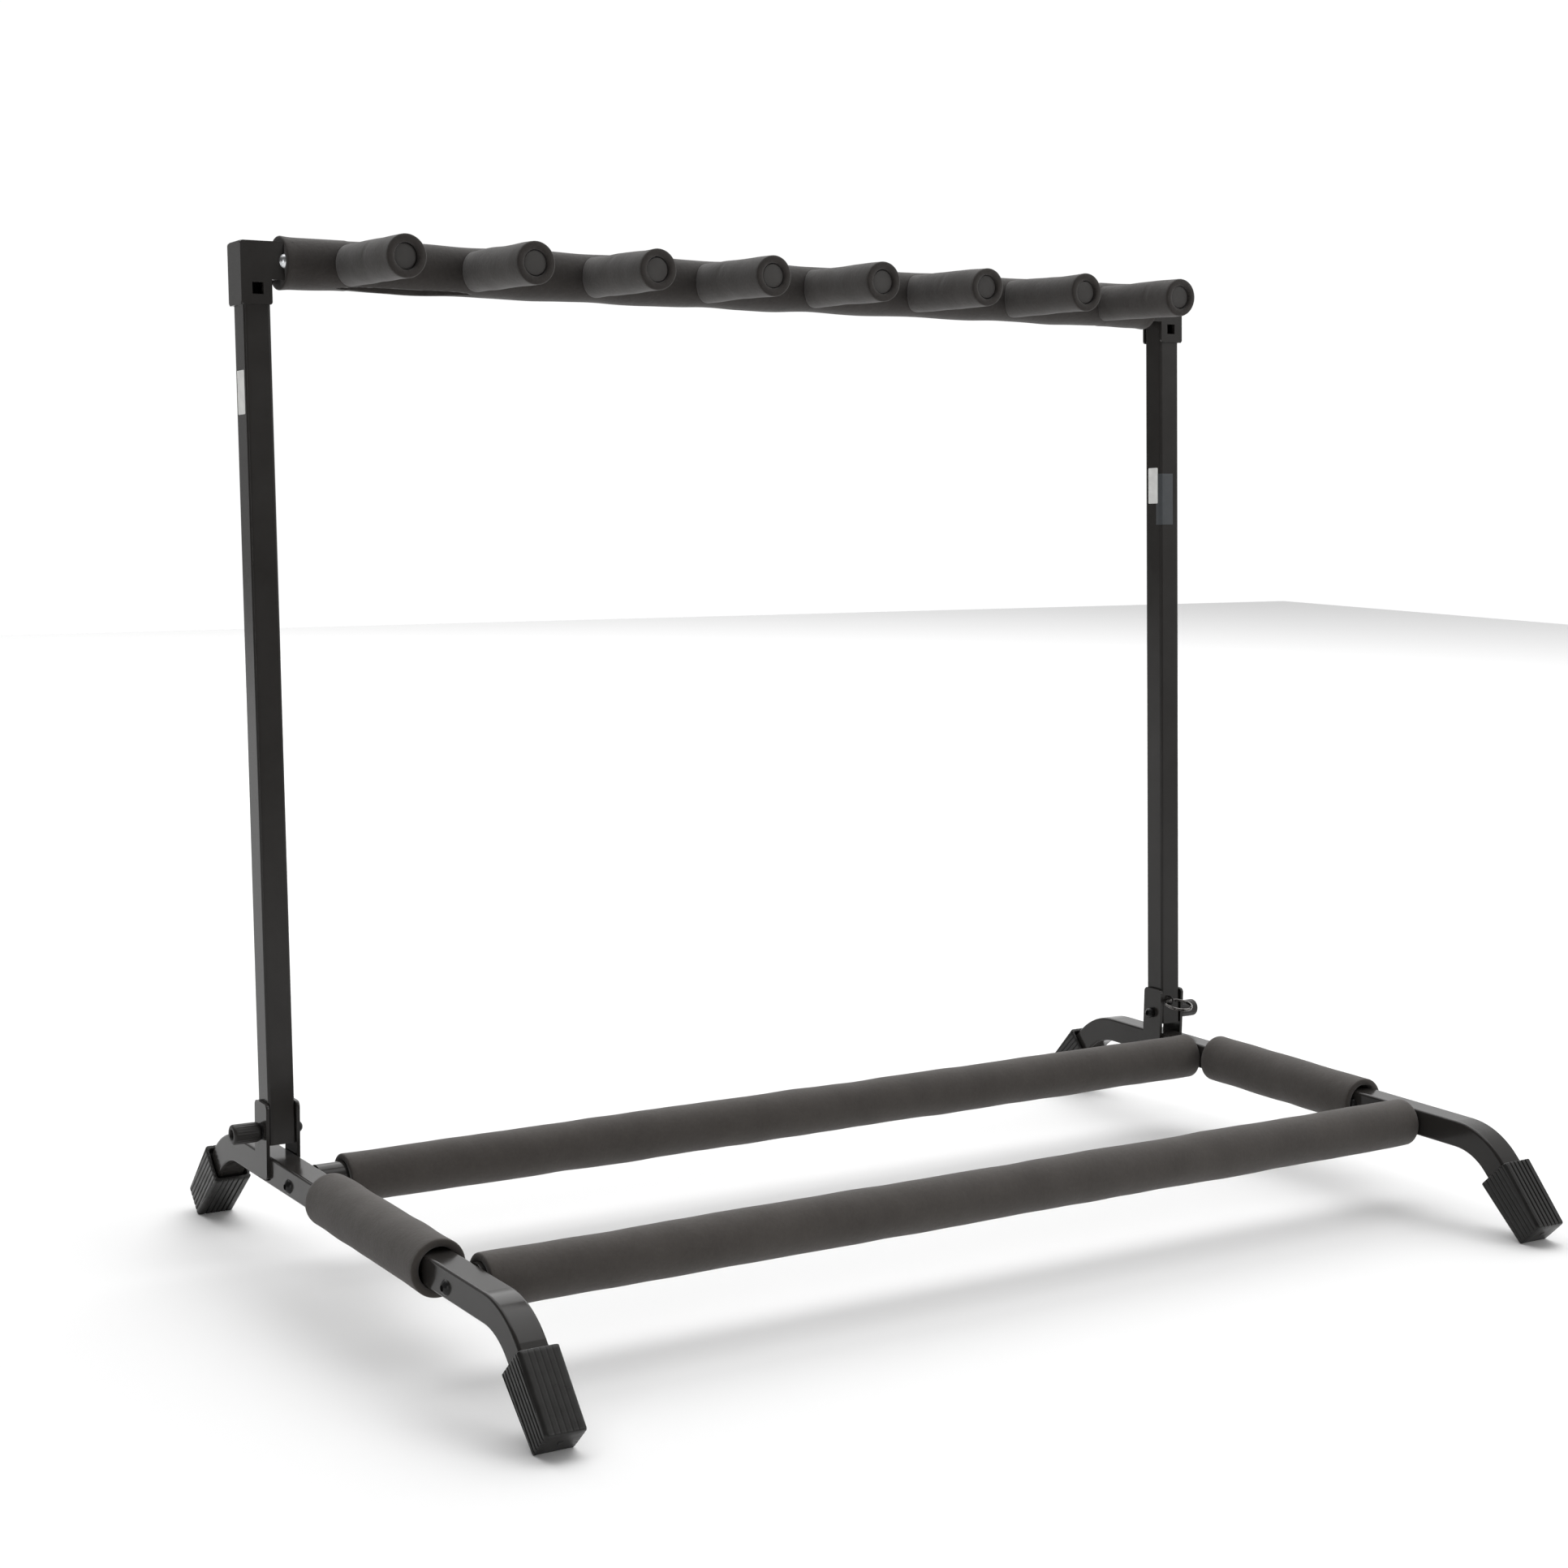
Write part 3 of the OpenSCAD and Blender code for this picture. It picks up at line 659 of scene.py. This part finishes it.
def make_knobs():
    """Barrel knobs with a tapered neck, fine axial ribs, a stepped end and a recess for the bolt."""
    for side, outward in (("left", -1), ("right", 1)):
        node = f"{side}_knob"
        low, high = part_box(node)
        length = (high.x - low.x) / MM
        r = (high.z - low.z) / MM / 2

        def ribs(radius, z, angle):
            strong = smooth_step((z - 2) / 1.5) * smooth_step(length - 2 - z) * (radius > r - 1)
            return RIB_HEIGHT * strong * np.cos(KNOB_RIBS * angle)

        neck = [(3.1, 0), (r - 1.4, 0), (r - 0.8, 0.5), (r - 0.35, 1.8)]
        barrel = [(r - 0.3, 4), (r - 0.25, length * 0.5), (r - 0.2, length - 3.2), (r - 0.1, length - 2)]
        end = [(r - 0.15, length - 1.2), (r - 0.6, length - 0.4), (r - 1.3, length)]
        recess = [(4.1, length), (3.7, length - 0.5), (3.6, length - 4.6), (3.1, length - 5)]
        profile = neck + barrel + end + recess
        turn = Matrix.Rotation(outward * math.pi / 2, 4, "Y")
        start = low.x if outward > 0 else high.x
        matrix = Matrix.Translation((start, pivot.y, pivot.z)) @ turn
        mesh = loft(node, placed(turned(profile, 156, ribs), matrix), ring=True)
        obj = piece(f"{side}_clamp_knob", mesh, KNOB, f"{side}_knob_body")
        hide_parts(node)


PLUG_FACE = 102.9                              # from the middle of the top bar, mm


def make_plugs():
    """Slightly domed plugs, each seated a little off centre. The first one sits deeper."""
    for i in PRONGS:
        draw = random.Random(700 + i)
        if i == 1:
            across, up = -0.75, 0.1
            face = PLUG_FACE - 1.1
        else:
            across, up = draw.uniform(-0.25, 0.25), draw.uniform(-0.25, 0.25)
            face = PLUG_FACE + draw.uniform(-0.3, 0.2)
        profile = [(7.3, face - 14), (7.3, face - 2.2), (8.3, face - 2.2), (8.55, face - 1.9),
            (8.6, face - 0.5), (8.3, face - 0.1), (7.6, face), (4, face + 0.12), (0.6, face + 0.15)]
        seat = prong_matrix(i) @ Matrix.Translation((across * MM, up * MM, 0))
        mesh = loft("plug", placed(turned(profile, 64), seat))
        obj = piece(f"prong_{i}_end_plug", mesh, PLUG, "upright_frame")
        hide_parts(f"prong_{i}_plug")


RING_DROOP = math.radians(13)
RING_RADIUS = 11.1                             # middle of the wire, mm


def make_split_ring():
    """Two turns of flat wire, one lying on the other, through the eyelet."""
    pose = next(j for j in frame["joints"] if j["name"] == "ring_swing")
    eye = Vector(pose["pos_m"])
    droop = RING_DROOP - LEAN
    radius = RING_RADIUS * MM
    ahead = Vector((0, -math.cos(droop), -math.sin(droop)))
    upward = AXIS_X.cross(ahead) * -1
    centre = eye + ahead * radius
    turns, count, wire = 2.04, 150, 0.82 * MM
    path = []
    for i in range(count + 1):
        t = i / count
        a = 2 * math.pi * turns * t + 0.9
        level = (2 * t - 1) * 0.85 * MM
        path.append(centre + radius * (math.cos(a) * AXIS_X + math.sin(a) * ahead) + upward * level)
    radii = [wire * (0.75 if i in (0, count) else 1) for i in range(count + 1)]
    mesh = swept("split_ring_wire", path, radii, 14)
    obj = piece("split_ring_wire", mesh, NICKEL, "ring")
    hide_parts("split_ring")


def make_weld_beads():
    """Bead of weld under each pivot plate, rippled along its length."""
    for side in ("left", "right"):
        for place in ("outer", "inner"):
            low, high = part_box(f"{side}_{place}_pivot_plate")
            outward = 1 if (low.x + high.x) / 2 > middle(f"{side}_leg_tube").x else -1
            x = (low.x if outward > 0 else high.x) + outward * 0.9 * MM
            draw = random.Random(side + place)
            count = 46
            path = []
            radii = []
            for i in range(count + 1):
                t = i / count
                y = low.y + 2.5 * MM + (high.y - low.y - 5 * MM) * t
                z = low.z - 0.2 * MM + draw.uniform(-0.15, 0.15) * MM
                path.append((x, y, z))
                ripple = 0.28 * abs(math.sin(t * math.pi * 7)) + draw.uniform(-0.08, 0.08)
                end = min(1.0, 5 * t + 0.25, 5 * (1 - t) + 0.25)
                radii.append((1.35 + ripple) * end * MM)
            mesh = swept("weld", path, radii, 12)
            obj = piece(f"{side}_{place}_weld", mesh, STEEL, "base")
            obj.data.name = obj.name


def make_spare_screw():
    """Short button screw in the inner face of the right leg, between the bars."""
    bar = middle("front_bar_tube")
    socket = [(0.4, 2.2), (2.0, 2.2), (2.1, 3.15)]
    dome = [(3.2, 3.1), (4.4, 2.2), (5.1, 0.8), (5.2, 0), (0.4, 0)]
    x = middle("right_leg_tube").x - 0.010
    seat = Matrix.Translation((x, bar.y + 0.057, bar.z + 0.001))
    matrix = seat @ Matrix.Rotation(-math.pi / 2, 4, "Y")
    mesh = loft("spare", placed(turned(socket + dome, 40), matrix))
    piece("right_leg_spare_screw", mesh, SCREW, "base", sharp=35)


LABEL_THICK = 0.14
LABEL_GAP = 0.01                               # between a label and the face that it is on, mm


def upright_point(side, along, out, ahead):
    """A point by an upright: mm up from the pivot, and mm from its middle line along X and forward."""
    x = middle(f"{side}_upright_tube").x
    return IN_FRAME @ Vector((x + out * MM, -ahead * MM, along * MM))


def make_label(name, side, along, tall, wide, facing, material):
    """Thin blank film with round corners on a side face of an upright."""
    flat = rounded_rect(wide, tall, 1.0, 2, 6)
    face = size(f"{side}_upright_tube").x / MM / 2
    loops = []
    for depth in (0.0, LABEL_THICK):
        x = facing * (face + LABEL_GAP + depth)
        loops.append([upright_point(side, along + p[1], x, p[0]) for p in flat])
    piece(name, loft(name, loops), material, "upright_frame", sharp=30)


def make_corner_label(name, side, low, high, front_w, side_w, material):
    """Film on the front face that wraps the inner corner on to the side face."""
    face = size(f"{side}_upright_tube").x / MM / 2
    corner, half = 2.0, 10.0
    centre = (-face + corner, half - corner)
    turns = [math.radians(d) for d in range(0, 91, 15)]
    bend = [(-face + corner - corner * math.sin(a), half - corner + corner * math.cos(a)) for a in turns]
    profile = [(-face + corner + front_w, half)] + bend + [(-face, half - corner - side_w)]

    def pushed(point, by):
        ahead = max(point[1] - centre[1], 0.0)
        out = min(point[0] - centre[0], 0.0)
        span = math.hypot(out, ahead)
        return point[0] + out / span * by, point[1] + ahead / span * by

    under = [pushed(p, LABEL_GAP) for p in profile]
    over = [pushed(p, LABEL_THICK) for p in reversed(profile)]
    loops = [[upright_point(side, along, p[0], p[1]) for p in under + over] for along in (low, high)]
    piece(name, loft(name, loops), material, "upright_frame", sharp=30)


def finish_cad_nodes():
    """Materials and slots for all CAD nodes, and fine edge rounding for the sheet metal among them."""
    looks = {"black_coat": STEEL, "foam": FOAM, "boot_rubber": RUBBER, "plug_plastic": PLUG,
        "knob_plastic": KNOB, "black_screws": SCREW, "zinc_plate": ZINC, "ring_steel": NICKEL}
    slots = {p["node"]: p["material_slot"] for p in frame["record"]["subparts"]}
    for node, obj in frame["nodes"].items():
        obj.data.materials.clear()
        obj.data.materials.append(looks[slots[node]])
        if "plate" in node or "bracket" in node:
            weld = obj.modifiers.new("weld", "WELD")
            weld.merge_threshold = 0.01 * MM
            edge = obj.modifiers.new("edge", "BEVEL")
            edge.limit_method = "ANGLE"
            edge.angle_limit = math.radians(40)
            edge.width = 0.5 * MM
            edge.segments = 2
            edge.harden_normals = True


# ---------------------------------------------------------------- the scene

make_camera()
STEEL = powder_coat("black_powder_coat", (0.0222, 0.0205, 0.0191), (0.0300, 0.0281, 0.0264), 0.16)
FOAM = closed_cell_foam("charcoal_foam", (0.0390, 0.0330, 0.0287), (0.0545, 0.0472, 0.0415))
# Foam of the top bar and prongs: its brown tint is the foam's own colour, and the extra darkness is painted shade.
TOP_FOAM_WITH_PAINTED_SHADE = closed_cell_foam("brown_foam_with_painted_shade", (0.0165, 0.0132, 0.0112), (0.0255, 0.0210, 0.0181))
RUBBER = moulded("boot_rubber", (0.0125, 0.0120, 0.0112), (0.0180, 0.0173, 0.0163), 0.34)
PLUG = moulded("plug_plastic", (0.040, 0.037, 0.035), (0.052, 0.049, 0.046), 0.5)
KNOB = moulded("knob_plastic", (0.017, 0.0155, 0.0145), (0.025, 0.023, 0.022), 0.42)
SCREW = powder_coat("black_oxide", (0.010, 0.010, 0.010), (0.018, 0.018, 0.018), 0.26)
ZINC = plated("bright_zinc", (0.55, 0.56, 0.58), (0.78, 0.79, 0.8), 0.2)
NICKEL = plated("nickel_wire", (0.07, 0.066, 0.063), (0.2, 0.19, 0.185), 0.2)
WHITE = label_film("white_label", (0.82, 0.82, 0.8), 0.4)
SMOKE = label_film("dark_label", (0.05, 0.055, 0.06), 0.3)
make_world()
make_lights()
make_floor()
finish_cad_nodes()
make_bar_foams()
make_leg_sleeves()
make_top_foam()
make_prong_foams()
make_boots()
make_knobs()
make_plugs()
make_split_ring()
make_weld_beads()
make_spare_screw()
make_label("left_upright_label", "left", along=513, tall=30, wide=13, facing=-1, material=WHITE)
make_label("right_upright_label", "right", along=452, tall=30, wide=12, facing=-1, material=WHITE)
make_corner_label("right_upright_film", "right", low=419, high=462, front_w=11, side_w=4, material=SMOKE)
